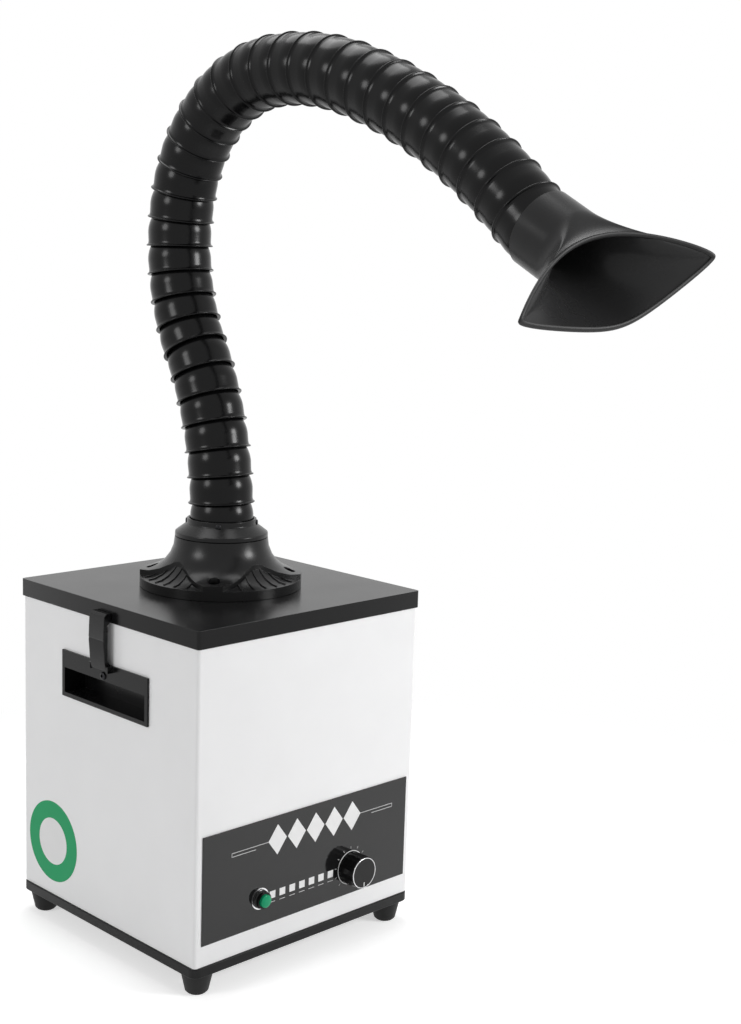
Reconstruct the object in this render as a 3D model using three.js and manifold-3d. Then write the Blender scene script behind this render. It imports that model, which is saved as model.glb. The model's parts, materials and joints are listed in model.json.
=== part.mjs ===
// Desktop fume extractor: a filter cabinet with a latched lid, carrying a stay-put arm of
// ball segments that ends in a scoop hood. Millimetres, +Z up, the control panel faces -Y.
import * as THREE from 'three';
import { mergeVertices } from 'three/addons/utils/BufferGeometryUtils.js';
import Module from 'manifold-3d';

const wasm = await Module();
wasm.setup();

// Clearance between pieces that touch, and between pieces that turn in each other
const GAP = 0.3;

// Cabinet shell and lid
const BODY_SIDE = 326;
const BODY_SHEET = 1.2;
const BODY_SHOWN = 351;
const EDGE_RADIUS = 4;
const LID_SKIRT = 20;
const LID_SHEET = 1.7;
const DUCT_RADIUS = 34;

// Base tray and feet
const TRAY_SIDE = 330;
const TRAY_HEIGHT = 11;
const TRAY_RADIUS = 10;
const TRAY_WALL = 3;
const TRAY_PLUG = 6;
const FOOT_HEIGHT = 25;
const FOOT_TOP_RADIUS = 18;
const FOOT_BOTTOM_RADIUS = 13;
const FOOT_EDGE = 3;
const FOOT_INSET = 20;

// Control panel, pilot lamp and speed control
const PANEL_WIDTH = 309;
const PANEL_HEIGHT = 122;
const PANEL_BOTTOM = 24;
const PANEL_SHEET = 1;
const CONTROL_HEIGHT = 56;
const LAMP_X = -73;
const LAMP_FLANGE_RADIUS = 10.5;
const LAMP_FLANGE = 4;
const LAMP_BARREL_RADIUS = 7.8;
const LAMP_DEPTH = 24;
const LENS_RADIUS = 7.4;
const LENS_RECESS = 2.5;
const LENS_LENGTH = 10;
const LENS_DOME = 2;
const KNOB_X = 65;
const KNOB_RADIUS = 19;
const KNOB_LENGTH = 23;
const KNOB_FLUTES = 20;
const KNOB_FLUTE_DEPTH = 0.7;
const KNOB_CHAMFER = 1.2;
const SHAFT_RADIUS = 3;
const SHAFT_LENGTH = 15;
const BUSH_RADIUS = 4.5;
const BUSH_PROUD = 3;
const POT_RADIUS = 12;
const POT_DEPTH = 14;

// Recessed carrying handles and the lid latches above them
const HANDLE_WIDTH = 160;
const HANDLE_HEIGHT = 54;
const HANDLE_DROP = 48;
const HANDLE_PLATE = 2.5;
const HANDLE_RIM = 5;
const HANDLE_BAND = 20;
const HANDLE_WALL = 2;
const HANDLE_DEPTH = 28;
const LATCH_WIDTH = 28;
const LATCH_LAP = 11;
const PIN_SIDES = 16;
const LATCH_FOLD = 32;
const FOLD_GROOVE = 1.2;
const LATCH_PROUD = 13;
const LATCH_BACK = 4;
const LATCH_EASE = 2;
const LATCH_TOE = 6;
const LATCH_HEEL = 4;
const LATCH_RELIEF = 9;
const LATCH_NOSE = 4;
const LATCH_PIN_RADIUS = 2.2;
const EAR_WIDTH = 4;
const EAR_REACH = 7.5;

// Filters, fan deck and blower
const DECK_HEIGHT = 105;
const DECK_SHEET = 1.5;
const DECK_FLANGE = 14;
const FILTER_MARGIN = 1.2;
const FILTER_FRAME = 12;
const FILTER_RECESS = 3;
const CARBON_HEIGHT = 52;
const PREFILTER_HEIGHT = 16;
const FILTER_HEADROOM = 9.1;
const INLET_RADIUS = 58;
const SCROLL_START = 86;
const SCROLL_END = 120;
const SCROLL_WALL = 2;
const SCROLL_TONGUE = 50;
const WHEEL_RADIUS = 76;
const WHEEL_BLADES = 20;
const BLADE_CHORD = 16;
const BLADE_THICKNESS = 1.2;
const BLADE_ANGLE = 35;
const WHEEL_HEIGHT = 62;
const WHEEL_PLATE = 2.5;
const WHEEL_FLOOR_CLEARANCE = 10;
const ROTOR_RADIUS = 44;
const ROTOR_HEIGHT = 42;
const SPINDLE_RADIUS = 9;
const SPINDLE_HEIGHT = 40;

// Exhaust slots and power inlet in the rear wall
const SLOT_WIDTH = 44;
const SLOT_HEIGHT = 5;
const SLOT_PITCH = 9;
const SLOT_ROWS = 8;
const SLOT_COLUMNS = 2;
const SLOT_COLUMN_PITCH = 52;
const INLET_X = -122;
const INLET_WIDTH = 48;
const INLET_HEIGHT = 28;
const INLET_FLANGE = 3;
const INLET_LIP = 6;
const INLET_DEPTH = 24;
const INLET_WALL = 3;
const INLET_PIN = [2, 4, 12];
const INLET_PIN_PITCH = 7;

// Hose flange on the lid and its swivel collar
const FLANGE_RADIUS = 94;
const FLANGE_RIM = 11;
const LOBE_RIM = 17;
const FLANGE_HEIGHT = 58;
const SHOULDER_RADIUS = 54;
const POCKET_HALF_WIDTH = 58;
const POCKET_PEAK = 62;
const POCKET_SHOULDER = 74;
const POCKET_CROWN = 16;
const LOBE_HOLE_RADIUS = 7;
const LOBE_HOLE_CIRCLE = 80;
const LOBE_HOLE_FLOOR = 8;
const WEB_RIBS = 6;
const WEB_RIB_STEP = 10;
const WEB_RIB_END = 4;
const WEB_RIB_WIDTH = 1.6;
const WEB_RIB_HEIGHT = 1.4;
const COLLAR_EDGE = 5;
const COLLAR_HEIGHT = 21;
const COLLAR_TOP_RADIUS = 40.5;
const COLLAR_NECK = 6;
const SWIVEL_FOOT_RADIUS = 45;
const SWIVEL_FOOT = 4.5;

// Arm of ball segments: the lip of each one rides over the ball of the one before
const PITCH = 30.65;
const BALL_RADIUS = 37;
const BALL_WALL = 2.6;
const BALL_END = 40;
const LIP_RADIUS = 37.5;
const LIP_RISE = 15;
const LIP_BEAD = 2.4;
const LIP_STEP = 0.8;
const BARREL_RADIUS = 36.6;
const ARM_PIVOT_RISE = 82;
const ARM_SIDES = 12;
const ARM_GAP = 0.1;
const ARM_BEND_LIMIT = 12;
// Stretches of the arm at rest: number of segments and the bend of each one, in degrees
const ARM_STRETCHES = [[2, -3.7], [5, -4.5], [6, 7.3], [7, 10.3], [4, 5.3], [9, 2.7]];

// Scoop hood on the last ball
const HOOD_TILT = -13.5;
const HOOD_TURN = 15.5;
const HOOD_LIP_RISE = 8;
const HOOD_WALL = 2.2;
const HOOD_NECK_END = 44;
const HOOD_HALF_WIDTH = 126;
const HOOD_TIP_REACH = 116;
const HOOD_TIP = 6;
const HOOD_UPPER = { height: 25, reach: 69, corner: 1.2 };
const HOOD_LOWER = { height: 33.5, reach: 129, corner: 0.3 };
const HOOD_SIDES = 32;
const HOOD_RINGS = 6;

// Heights above the floor, and half widths, that follow from the sizes above
const trayZ = FOOT_HEIGHT;
const bodyZ = trayZ + TRAY_HEIGHT;
const lidBottom = bodyZ + BODY_SHOWN;
const lidTop = lidBottom + LID_SKIRT;
const shellTop = lidTop - LID_SHEET - GAP;
const plugTop = bodyZ + TRAY_PLUG;
const bodyHalf = BODY_SIDE / 2;
const innerHalf = bodyHalf - BODY_SHEET;
const lidSide = BODY_SIDE + 2 * (GAP + LID_SHEET);
const deckZ = bodyZ + DECK_HEIGHT;
const controlZ = bodyZ + CONTROL_HEIGHT;
const panelBack = bodyHalf + GAP;
const panelFront = panelBack + PANEL_SHEET;
const handleFace = bodyHalf + GAP + HANDLE_PLATE;
const handleTop = lidBottom - HANDLE_DROP;
const handleZ = handleTop - HANDLE_HEIGHT;
const pinZ = handleTop - LATCH_PIN_RADIUS - 1;
const pinX = handleFace + LATCH_BACK;
const flangeZ = lidTop + GAP;
const collarZ = flangeZ + FLANGE_HEIGHT + GAP;
const armPivotZ = lidTop + ARM_PIVOT_RISE;

const radians = THREE.MathUtils.degToRad;

const paint = (color, roughness, metalness = 0) =>
  new THREE.MeshStandardMaterial({ color, roughness, metalness });
const whiteEnamel = paint(0xefefef, 0.35, 0.1);
const blackEnamel = paint(0x2e2e2e, 0.45, 0.1);
const blackPlastic = paint(0x1c1c1c, 0.35);
const glossPlastic = paint(0x101010, 0.2);
const panelGrey = paint(0x464646, 0.5);
const greenLens = paint(0x00be78, 0.2);
const steel = paint(0xb8babc, 0.4, 0.9);
const rubber = paint(0x262626, 0.8);
const filterPaper = paint(0xe6e3da, 0.9);
const carbonMedia = paint(0x2a2a2a, 0.95);
const filterPad = paint(0xd9dde0, 0.95);

// A closed solid from a geometry: shared corners merged, empty triangles dropped, faces out
function solid(geometry) {
  const bare = new THREE.BufferGeometry();
  bare.setAttribute('position', geometry.getAttribute('position'));
  bare.setIndex(geometry.index);
  const merged = mergeVertices(bare, 1e-4);
  const corners = merged.getAttribute('position');
  const [a, b, c] = [new THREE.Vector3(), new THREE.Vector3(), new THREE.Vector3()];
  const triangles = [];
  let volume = 0;
  for (let i = 0; i < merged.index.count; i += 3) {
    const face = [0, 1, 2].map((k) => merged.index.getX(i + k));
    if (new Set(face).size < 3) continue;
    triangles.push(face);
    a.fromBufferAttribute(corners, face[0]);
    b.fromBufferAttribute(corners, face[1]);
    c.fromBufferAttribute(corners, face[2]);
    volume += a.dot(b.cross(c));
  }
  const ordered = volume < 0 ? triangles.map(([i, j, k]) => [i, k, j]) : triangles;
  return new wasm.Manifold(new wasm.Mesh({
    numProp: 3,
    vertProperties: new Float32Array(corners.array),
    triVerts: new Uint32Array(ordered.flat()),
  }));
}

function mesh(name, body, material) {
  const { vertProperties, triVerts } = body.getMesh();
  const geometry = new THREE.BufferGeometry();
  geometry.setAttribute('position', new THREE.BufferAttribute(new Float32Array(vertProperties), 3));
  geometry.setIndex(new THREE.BufferAttribute(new Uint32Array(triVerts), 1));
  geometry.computeVertexNormals();
  const piece = new THREE.Mesh(geometry, material);
  piece.name = name;
  return piece;
}

// A box between two limits on each axis
function slab([x0, x1], [y0, y1], [z0, z1]) {
  const box = new THREE.BoxGeometry(Math.abs(x1 - x0), Math.abs(y1 - y0), Math.abs(z1 - z0));
  return solid(box.translate((x0 + x1) / 2, (y0 + y1) / 2, (z0 + z1) / 2));
}

// A square block with rounded upright edges
function roundedBlock(side, radius, [z0, z1]) {
  const half = side / 2;
  const shape = new THREE.Shape();
  shape.moveTo(-half + radius, -half);
  shape.absarc(half - radius, -half + radius, radius, -Math.PI / 2, 0);
  shape.absarc(half - radius, half - radius, radius, 0, Math.PI / 2);
  shape.absarc(-half + radius, half - radius, radius, Math.PI / 2, Math.PI);
  shape.absarc(-half + radius, -half + radius, radius, Math.PI, 1.5 * Math.PI);
  const block = new THREE.ExtrudeGeometry(shape, { depth: z1 - z0, bevelEnabled: false, curveSegments: 2 });
  return solid(block.translate(0, 0, z0));
}

// A revolved solid about Z from [radius, height] points
function revolve(profile, sides) {
  const points = profile.map(([r, z]) => new THREE.Vector2(r, z));
  return solid(new THREE.LatheGeometry(points, sides).rotateX(Math.PI / 2));
}

// A revolved tube, whose profile closes on itself
const revolveRing = (profile, sides) => revolve([...profile, profile[0]], sides);

const disc = (radius, [z0, z1], sides = 24) => revolve([[0, z0], [radius, z0], [radius, z1], [0, z1]], sides);

// Radius that keeps the flats of a bore with this many sides clear of a round pin
const boreRadius = (pinRadius, sides) => (pinRadius + GAP) / Math.cos(Math.PI / sides);

// Turns a solid made along +Z to point out of the front face, with its zero at the given depth
const towardsFront = (body, x, depth, z) => body.rotate([90, 0, 0]).translate([x, -depth, z]);

const object = new THREE.Group();

// Base tray with its locating plug, hollow underneath, and pads over the feet
function baseTray() {
  const plugSide = 2 * (innerHalf - GAP);
  const pocketTop = bodyZ - TRAY_WALL;
  let tray = roundedBlock(TRAY_SIDE, TRAY_RADIUS, [trayZ, bodyZ]);
  tray = tray.add(roundedBlock(plugSide, EDGE_RADIUS, [pocketTop, plugTop]));
  const pocket = roundedBlock(TRAY_SIDE - 2 * TRAY_WALL, TRAY_RADIUS - TRAY_WALL, [trayZ - 1, pocketTop]);
  const pads = footPlaces().map(([x, y]) =>
    disc(FOOT_TOP_RADIUS, [trayZ, pocketTop + 1], 16).translate([x, y, 0]));
  return pads.reduce((whole, pad) => whole.add(pad), tray.subtract(pocket));
}

function footPlaces() {
  const reach = TRAY_SIDE / 2 - FOOT_INSET;
  return [[-reach, -reach], [reach, -reach], [reach, reach], [-reach, reach]];
}

function foot() {
  return revolve([
    [0, 0], [FOOT_BOTTOM_RADIUS - FOOT_EDGE, 0], [FOOT_BOTTOM_RADIUS, FOOT_EDGE],
    [FOOT_TOP_RADIUS, FOOT_HEIGHT - GAP], [0, FOOT_HEIGHT - GAP],
  ], 16);
}

// Folded steel shell, open at both ends, with every opening that its fittings need
function cabinetShell() {
  const outer = roundedBlock(BODY_SIDE, EDGE_RADIUS, [bodyZ + GAP, shellTop]);
  const inner = roundedBlock(2 * innerHalf, EDGE_RADIUS - BODY_SHEET, [bodyZ, shellTop + 1]);
  const frontHole = (radius, x) =>
    towardsFront(disc(boreRadius(radius, 24), [0, 3 * BODY_SHEET]), x, innerHalf - BODY_SHEET, controlZ);
  let shell = outer.subtract(inner);
  shell = shell.subtract(frontHole(LAMP_BARREL_RADIUS, LAMP_X)).subtract(frontHole(BUSH_RADIUS, KNOB_X));
  for (const sign of [-1, 1]) shell = shell.subtract(handleCup(sign, GAP));
  shell = shell.subtract(inletBody(GAP));
  for (const slot of exhaustSlots()) shell = shell.subtract(slot);
  return shell;
}

function exhaustSlots() {
  const slots = [];
  const middle = [(SCROLL_END + scrollMouthX()) / 2, (plugTop + deckZ) / 2];
  for (let column = 0; column < SLOT_COLUMNS; column += 1) {
    for (let row = 0; row < SLOT_ROWS; row += 1) {
      const x = middle[0] + (column - (SLOT_COLUMNS - 1) / 2) * SLOT_COLUMN_PITCH;
      const z = middle[1] + (row - (SLOT_ROWS - 1) / 2) * SLOT_PITCH;
      const depth = [innerHalf - BODY_SHEET, bodyHalf + BODY_SHEET];
      const width = [x - SLOT_WIDTH / 2, x + SLOT_WIDTH / 2];
      slots.push(slab(width, depth, [z - SLOT_HEIGHT / 2, z + SLOT_HEIGHT / 2]));
    }
  }
  return slots;
}

function lid() {
  const outer = roundedBlock(lidSide, EDGE_RADIUS, [lidBottom, lidTop]);
  const innerHeight = [lidBottom - 1, lidTop - LID_SHEET];
  const inner = roundedBlock(lidSide - 2 * LID_SHEET, EDGE_RADIUS - LID_SHEET, innerHeight);
  return outer.subtract(inner).subtract(disc(DUCT_RADIUS, [lidBottom, lidTop + 1]));
}

function controlPanel() {
  const bottom = bodyZ + PANEL_BOTTOM;
  const width = [-PANEL_WIDTH / 2, PANEL_WIDTH / 2];
  const plate = slab(width, [-panelFront, -panelBack], [bottom, bottom + PANEL_HEIGHT]);
  const hole = (radius, x) =>
    towardsFront(disc(boreRadius(radius, 24), [0, 3 * PANEL_SHEET]), x, panelBack - PANEL_SHEET, controlZ);
  return plate.subtract(hole(LAMP_BARREL_RADIUS, LAMP_X)).subtract(hole(BUSH_RADIUS, KNOB_X));
}

// Pilot lamp: a flanged barrel through the panel with a domed lens seated in its front
function lampBezel() {
  const front = GAP + LAMP_FLANGE;
  const seat = front - LENS_RECESS;
  const lensBore = boreRadius(LENS_RADIUS, 24);
  const barrel = revolve([
    [0, -LAMP_DEPTH], [LAMP_BARREL_RADIUS, -LAMP_DEPTH], [LAMP_BARREL_RADIUS, GAP], [LAMP_FLANGE_RADIUS, GAP],
    [LAMP_FLANGE_RADIUS, front - 1], [LAMP_FLANGE_RADIUS - 1, front],
    [lensBore, front], [lensBore, seat], [0, seat],
  ], 24);
  return towardsFront(barrel, LAMP_X, panelFront, controlZ);
}

function lampLens() {
  const seat = GAP + LAMP_FLANGE - LENS_RECESS + GAP;
  const dome = [15, 40, 65].map((tilt) => [
    LENS_RADIUS * Math.cos(radians(tilt)),
    seat + LENS_LENGTH - LENS_DOME * (1 - Math.sin(radians(tilt))),
  ]);
  const lens = revolve([
    [0, seat], [LENS_RADIUS, seat], [LENS_RADIUS, dome[0][1] - 1], ...dome, [0, seat + LENS_LENGTH],
  ], 20);
  return towardsFront(lens, LAMP_X, panelFront, controlZ);
}

// Speed control: the potentiometer hangs on its bush behind the front wall, its shaft in the knob
function potentiometer() {
  const bushEnd = panelFront - innerHalf + BUSH_PROUD;
  const body = revolve([
    [0, -POT_DEPTH - GAP], [POT_RADIUS, -POT_DEPTH - GAP], [POT_RADIUS, -GAP], [BUSH_RADIUS, -GAP],
    [BUSH_RADIUS, bushEnd], [SHAFT_RADIUS, bushEnd],
    [SHAFT_RADIUS, bushEnd + SHAFT_LENGTH], [0, bushEnd + SHAFT_LENGTH],
  ], 20);
  return towardsFront(body, KNOB_X, innerHalf, controlZ);
}

function speedKnob() {
  const outline = [];
  for (let i = 0; i < 2 * KNOB_FLUTES; i += 1) {
    const angle = i * Math.PI / KNOB_FLUTES;
    const radius = KNOB_RADIUS - KNOB_CHAMFER - (i % 2) * KNOB_FLUTE_DEPTH;
    outline.push(new THREE.Vector2(radius * Math.cos(angle), radius * Math.sin(angle)));
  }
  const bevel = { bevelSize: KNOB_CHAMFER, bevelThickness: KNOB_CHAMFER, bevelSegments: 1 };
  const depth = KNOB_LENGTH - 2 * KNOB_CHAMFER;
  const grip = new THREE.ExtrudeGeometry(new THREE.Shape(outline), { depth, ...bevel });
  const bushBore = disc(boreRadius(BUSH_RADIUS, 20), [-1, BUSH_PROUD], 20);
  const shaftBore = disc(boreRadius(SHAFT_RADIUS, 20), [-1, BUSH_PROUD + SHAFT_LENGTH], 20);
  const knob = solid(grip.translate(0, 0, KNOB_CHAMFER)).subtract(bushBore).subtract(shaftBore);
  return towardsFront(knob, KNOB_X, panelFront + GAP, controlZ);
}

// Outer form of a handle's cup, grown by a margin where it passes through the shell
function handleCup(sign, margin) {
  const half = HANDLE_WIDTH / 2 - HANDLE_RIM + HANDLE_WALL + margin;
  const reach = [sign * (bodyHalf - HANDLE_DEPTH - margin), sign * (bodyHalf + GAP + margin)];
  const height = [handleZ + HANDLE_RIM - HANDLE_WALL - margin, handleTop - HANDLE_RIM + margin];
  return slab(reach, [-half, half], height);
}

// Recessed handle: a face plate with a solid band over the finger opening, a cup behind it,
// and two ears that carry the latch pin
function handle(sign) {
  const half = HANDLE_WIDTH / 2;
  const cupHalf = half - HANDLE_RIM;
  const floor = sign * (bodyHalf - HANDLE_DEPTH + HANDLE_WALL);
  const bandBack = sign * (bodyHalf + GAP - HANDLE_WALL);
  const mouthTop = handleTop - HANDLE_BAND;
  const plate = slab([sign * (bodyHalf + GAP), sign * handleFace], [-half, half], [handleZ, handleTop]);
  let body = plate.add(handleCup(sign, 0));
  const width = [-cupHalf, cupHalf];
  body = body.subtract(slab([floor, sign * (handleFace + 1)], width, [handleZ + HANDLE_RIM, mouthTop]));
  const pocket = [mouthTop - 1, handleTop - HANDLE_RIM - HANDLE_WALL];
  body = body.subtract(slab([floor, bandBack], width, pocket));
  const earInner = LATCH_WIDTH / 2 + GAP;
  for (const side of [-1, 1]) {
    const ear = [side * earInner, side * (earInner + EAR_WIDTH)];
    const reach = [sign * (handleFace - 1), sign * (handleFace + EAR_REACH)];
    body = body.add(slab(reach, ear, [pinZ - 4, handleTop]));
  }
  return body.subtract(latchPin(sign, boreRadius(LATCH_PIN_RADIUS, PIN_SIDES) - LATCH_PIN_RADIUS, 0));
}

// The latch's trunnions: half of each ear deep, or right through the ears for their bores
function latchPin(sign, margin, endGap) {
  const half = LATCH_WIDTH / 2 + GAP + EAR_WIDTH - endGap;
  const pin = disc(LATCH_PIN_RADIUS + margin, [-half, half], PIN_SIDES);
  return pin.rotate([90, 0, 0]).translate([sign * pinX, 0, pinZ]);
}

// Latch lever: hinged at its lower end, bowed outwards at the fold, its nose against the lid's edge
function latch(sign) {
  const lidFace = lidSide / 2 + GAP;
  const backFace = handleFace + GAP;
  const top = lidBottom + LATCH_LAP;
  const fold = pinZ + LATCH_FOLD;
  const proud = bodyHalf + LATCH_PROUD;
  const tail = LATCH_PIN_RADIUS + GAP;
  const outline = [
    [backFace + GAP, pinZ], [pinX - LATCH_PIN_RADIUS, pinZ - tail], [pinX + tail, pinZ - tail],
    [pinX + LATCH_PIN_RADIUS + LATCH_EASE, pinZ + LATCH_TOE],
    [proud, fold - FOLD_GROOVE], [proud - FOLD_GROOVE / 2, fold], [proud, fold + FOLD_GROOVE],
    [proud - LATCH_NOSE / 4, top - 3 / 4 * LATCH_NOSE], [proud - LATCH_NOSE, top],
    [lidFace, top], [lidFace, lidBottom + LATCH_EASE],
    [backFace + LATCH_BACK, lidBottom - LATCH_EASE], [backFace + LATCH_BACK, pinZ + LATCH_RELIEF],
    [backFace, pinZ + LATCH_HEEL],
  ];
  const shape = new THREE.Shape(outline.map(([x, z]) => new THREE.Vector2(sign * x, z)));
  const lever = new THREE.ExtrudeGeometry(shape, { depth: LATCH_WIDTH, bevelEnabled: false });
  lever.rotateX(Math.PI / 2).translate(0, LATCH_WIDTH / 2, 0);
  return solid(lever).add(latchPin(sign, 0, GAP));
}

// Steel deck with a turned-down flange: carries the filters over the blower's inlet
function fanDeck() {
  const side = 2 * (innerHalf - GAP);
  const deck = roundedBlock(side, EDGE_RADIUS - BODY_SHEET, [deckZ - DECK_FLANGE, deckZ]);
  const under = [deckZ - DECK_FLANGE - 1, deckZ - DECK_SHEET];
  const hollow = roundedBlock(side - 2 * DECK_SHEET, EDGE_RADIUS - 2 * BODY_SHEET, under);
  return deck.subtract(hollow).subtract(disc(INLET_RADIUS, [deckZ - DECK_FLANGE, deckZ + 1], 32));
}

// A framed filter block: a rim round a sunk face of media
function filterBlock(z0, height) {
  const side = 2 * (innerHalf - FILTER_MARGIN);
  const block = roundedBlock(side, EDGE_RADIUS, [z0, z0 + height]);
  const recess = [z0 + height - FILTER_RECESS, z0 + height + 1];
  const sunk = roundedBlock(side - 2 * FILTER_FRAME, EDGE_RADIUS, recess);
  return block.subtract(sunk);
}

// Outline of the blower's scroll: a spiral that opens towards the rear wall
function scrollShape(inset) {
  const shape = new THREE.Shape();
  const steps = 24;
  const start = radians(SCROLL_TONGUE);
  for (let i = 0; i <= steps; i += 1) {
    const angle = start + (2 * Math.PI - start) * i / steps;
    const radius = SCROLL_START + (SCROLL_END - SCROLL_START) * angle / (2 * Math.PI) - inset;
    const point = [radius * Math.cos(angle), radius * Math.sin(angle)];
    if (i === 0) shape.moveTo(...point);
    else shape.lineTo(...point);
  }
  const mouth = innerHalf - DECK_SHEET - 2 * GAP + inset;
  shape.lineTo(SCROLL_END - inset, mouth);
  shape.lineTo(scrollMouthX() + inset, mouth);
  shape.closePath();
  return shape;
}

function scrollMouthX() {
  const start = radians(SCROLL_TONGUE);
  const radius = SCROLL_START + (SCROLL_END - SCROLL_START) * start / (2 * Math.PI);
  return radius * Math.cos(start) - 2 * SCROLL_WALL;
}

function blowerHousing() {
  const [floor, roof] = [plugTop + GAP, deckZ - DECK_SHEET - GAP];
  const extrude = (inset, z0, z1) =>
    solid(new THREE.ExtrudeGeometry(scrollShape(inset), { depth: z1 - z0, bevelEnabled: false })
      .translate(0, 0, z0));
  const cavity = extrude(SCROLL_WALL, floor + SCROLL_WALL, roof - SCROLL_WALL);
  const casing = extrude(0, floor, roof).subtract(cavity);
  const spindle = disc(SPINDLE_RADIUS, [floor + SCROLL_WALL / 2, floor + SCROLL_WALL + SPINDLE_HEIGHT]);
  return casing.subtract(disc(INLET_RADIUS, [roof - 2 * SCROLL_WALL, roof + 1], 32)).add(spindle);
}

// Forward-curved wheel on the blower's external rotor, turning on the housing's spindle
function impeller() {
  const base = plugTop + GAP + SCROLL_WALL + WHEEL_FLOOR_CLEARANCE;
  const bore = boreRadius(SPINDLE_RADIUS, 24);
  const boreTop = plugTop + GAP + SCROLL_WALL + SPINDLE_HEIGHT + GAP;
  let wheel = revolveRing([
    [bore, base], [WHEEL_RADIUS, base], [WHEEL_RADIUS, base + WHEEL_PLATE],
    [ROTOR_RADIUS, base + WHEEL_PLATE], [ROTOR_RADIUS, base + ROTOR_HEIGHT - 3],
    [ROTOR_RADIUS - 3, base + ROTOR_HEIGHT], [bore, base + ROTOR_HEIGHT],
  ], 24);
  wheel = wheel.add(disc(ROTOR_RADIUS - 3, [boreTop, Math.max(boreTop, base + ROTOR_HEIGHT) + 2]));
  const rim = WHEEL_RADIUS - BLADE_CHORD / 2;
  for (let i = 0; i < WHEEL_BLADES; i += 1) {
    const blade = slab([-BLADE_CHORD / 2, BLADE_CHORD / 2], [-BLADE_THICKNESS / 2, BLADE_THICKNESS / 2],
      [base + WHEEL_PLATE / 2, base + WHEEL_HEIGHT - 1]);
    const placed = blade.rotate([0, 0, BLADE_ANGLE]).translate([rim - 1, 0, 0]);
    wheel = wheel.add(placed.rotate([0, 0, i * 360 / WHEEL_BLADES]));
  }
  const inner = WHEEL_RADIUS - BLADE_CHORD;
  const hoop = [[inner, base + WHEEL_HEIGHT - 3], [WHEEL_RADIUS, base + WHEEL_HEIGHT - 3]];
  const top = base + WHEEL_HEIGHT;
  return wheel.add(revolveRing([...hoop, [WHEEL_RADIUS, top], [inner, top]], 24));
}

// Body of the appliance inlet, grown by a margin where it passes through the rear wall
function inletBody(margin) {
  const half = [INLET_WIDTH / 2 - INLET_LIP + margin, INLET_HEIGHT / 2 - INLET_WALL + margin];
  return slab([INLET_X - half[0], INLET_X + half[0]], [bodyHalf - INLET_DEPTH, bodyHalf + GAP + margin],
    [controlZ - half[1], controlZ + half[1]]);
}

function powerInlet() {
  const face = bodyHalf + GAP;
  const half = [INLET_WIDTH / 2, INLET_HEIGHT / 2];
  const [width, height] = [[INLET_X - half[0], INLET_X + half[0]], [controlZ - half[1], controlZ + half[1]]];
  const flange = slab(width, [face, face + INLET_FLANGE], height);
  const well = [half[0] - INLET_LIP - INLET_WALL, half[1] - 2 * INLET_WALL];
  const floor = bodyHalf - INLET_DEPTH + INLET_WALL;
  const [pinWidth, pinHeight, pinLength] = INLET_PIN;
  let socket = flange.add(inletBody(0));
  socket = socket.subtract(slab([INLET_X - well[0], INLET_X + well[0]], [floor, face + INLET_FLANGE + 1],
    [controlZ - well[1], controlZ + well[1]]));
  for (const [dx, dz] of [[-INLET_PIN_PITCH, -1.5], [0, 2], [INLET_PIN_PITCH, -1.5]]) {
    const [x, z] = [INLET_X + dx, controlZ + dz];
    socket = socket.add(slab([x - pinWidth / 2, x + pinWidth / 2], [floor - 1, floor + pinLength],
      [z - pinHeight / 2, z + pinHeight / 2]));
  }
  return socket;
}

// Bell flange: four lobes run down to bolt holes, with ribbed webs sunk between them
function hoseFlange() {
  const flare = [];
  for (let i = 0; i <= 6; i += 1) {
    const turn = i / 6 * Math.PI / 2;
    flare.push([
      FLANGE_RADIUS - (FLANGE_RADIUS - SHOULDER_RADIUS) * Math.sin(turn),
      FLANGE_HEIGHT - (FLANGE_HEIGHT - LOBE_RIM) * Math.cos(turn),
    ]);
  }
  const ringUnder = (slope) =>
    revolveRing([[DUCT_RADIUS, 0], [FLANGE_RADIUS, 0], ...slope, [DUCT_RADIUS, slope.at(-1)[1]]], 48);
  const sunkBy = (drop) => ringUnder(flare.slice(0, -2).map(([radius, z]) => [radius, z - drop]));
  const sink = LOBE_RIM - FLANGE_RIM;
  const ribTops = sunkBy(sink - WEB_RIB_HEIGHT);
  const ribPlate = slab(
    [POCKET_PEAK, FLANGE_RADIUS - WEB_RIB_END], [-WEB_RIB_WIDTH / 2, WEB_RIB_WIDTH / 2], [0, FLANGE_HEIGHT],
  );
  let flange = ringUnder(flare);
  let web = sunkBy(sink);
  for (let quarter = 0; quarter < 4; quarter += 1) {
    flange = flange.subtract(pocketCutter().rotate([0, 0, 90 * quarter]));
    for (let i = 0; i < WEB_RIBS; i += 1) {
      const turn = 90 * quarter + (i - (WEB_RIBS - 1) / 2) * WEB_RIB_STEP;
      web = web.add(ribTops.intersect(ribPlate.rotate([0, 0, turn])));
    }
  }
  flange = flange.add(web);
  for (let quarter = 0; quarter < 4; quarter += 1) {
    const hole = disc(LOBE_HOLE_RADIUS, [LOBE_HOLE_FLOOR, FLANGE_HEIGHT], 16)
      .translate([LOBE_HOLE_CIRCLE, 0, 0]);
    flange = flange.subtract(hole.rotate([0, 0, 45 + 90 * quarter]));
  }
  return flange;
}

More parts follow.
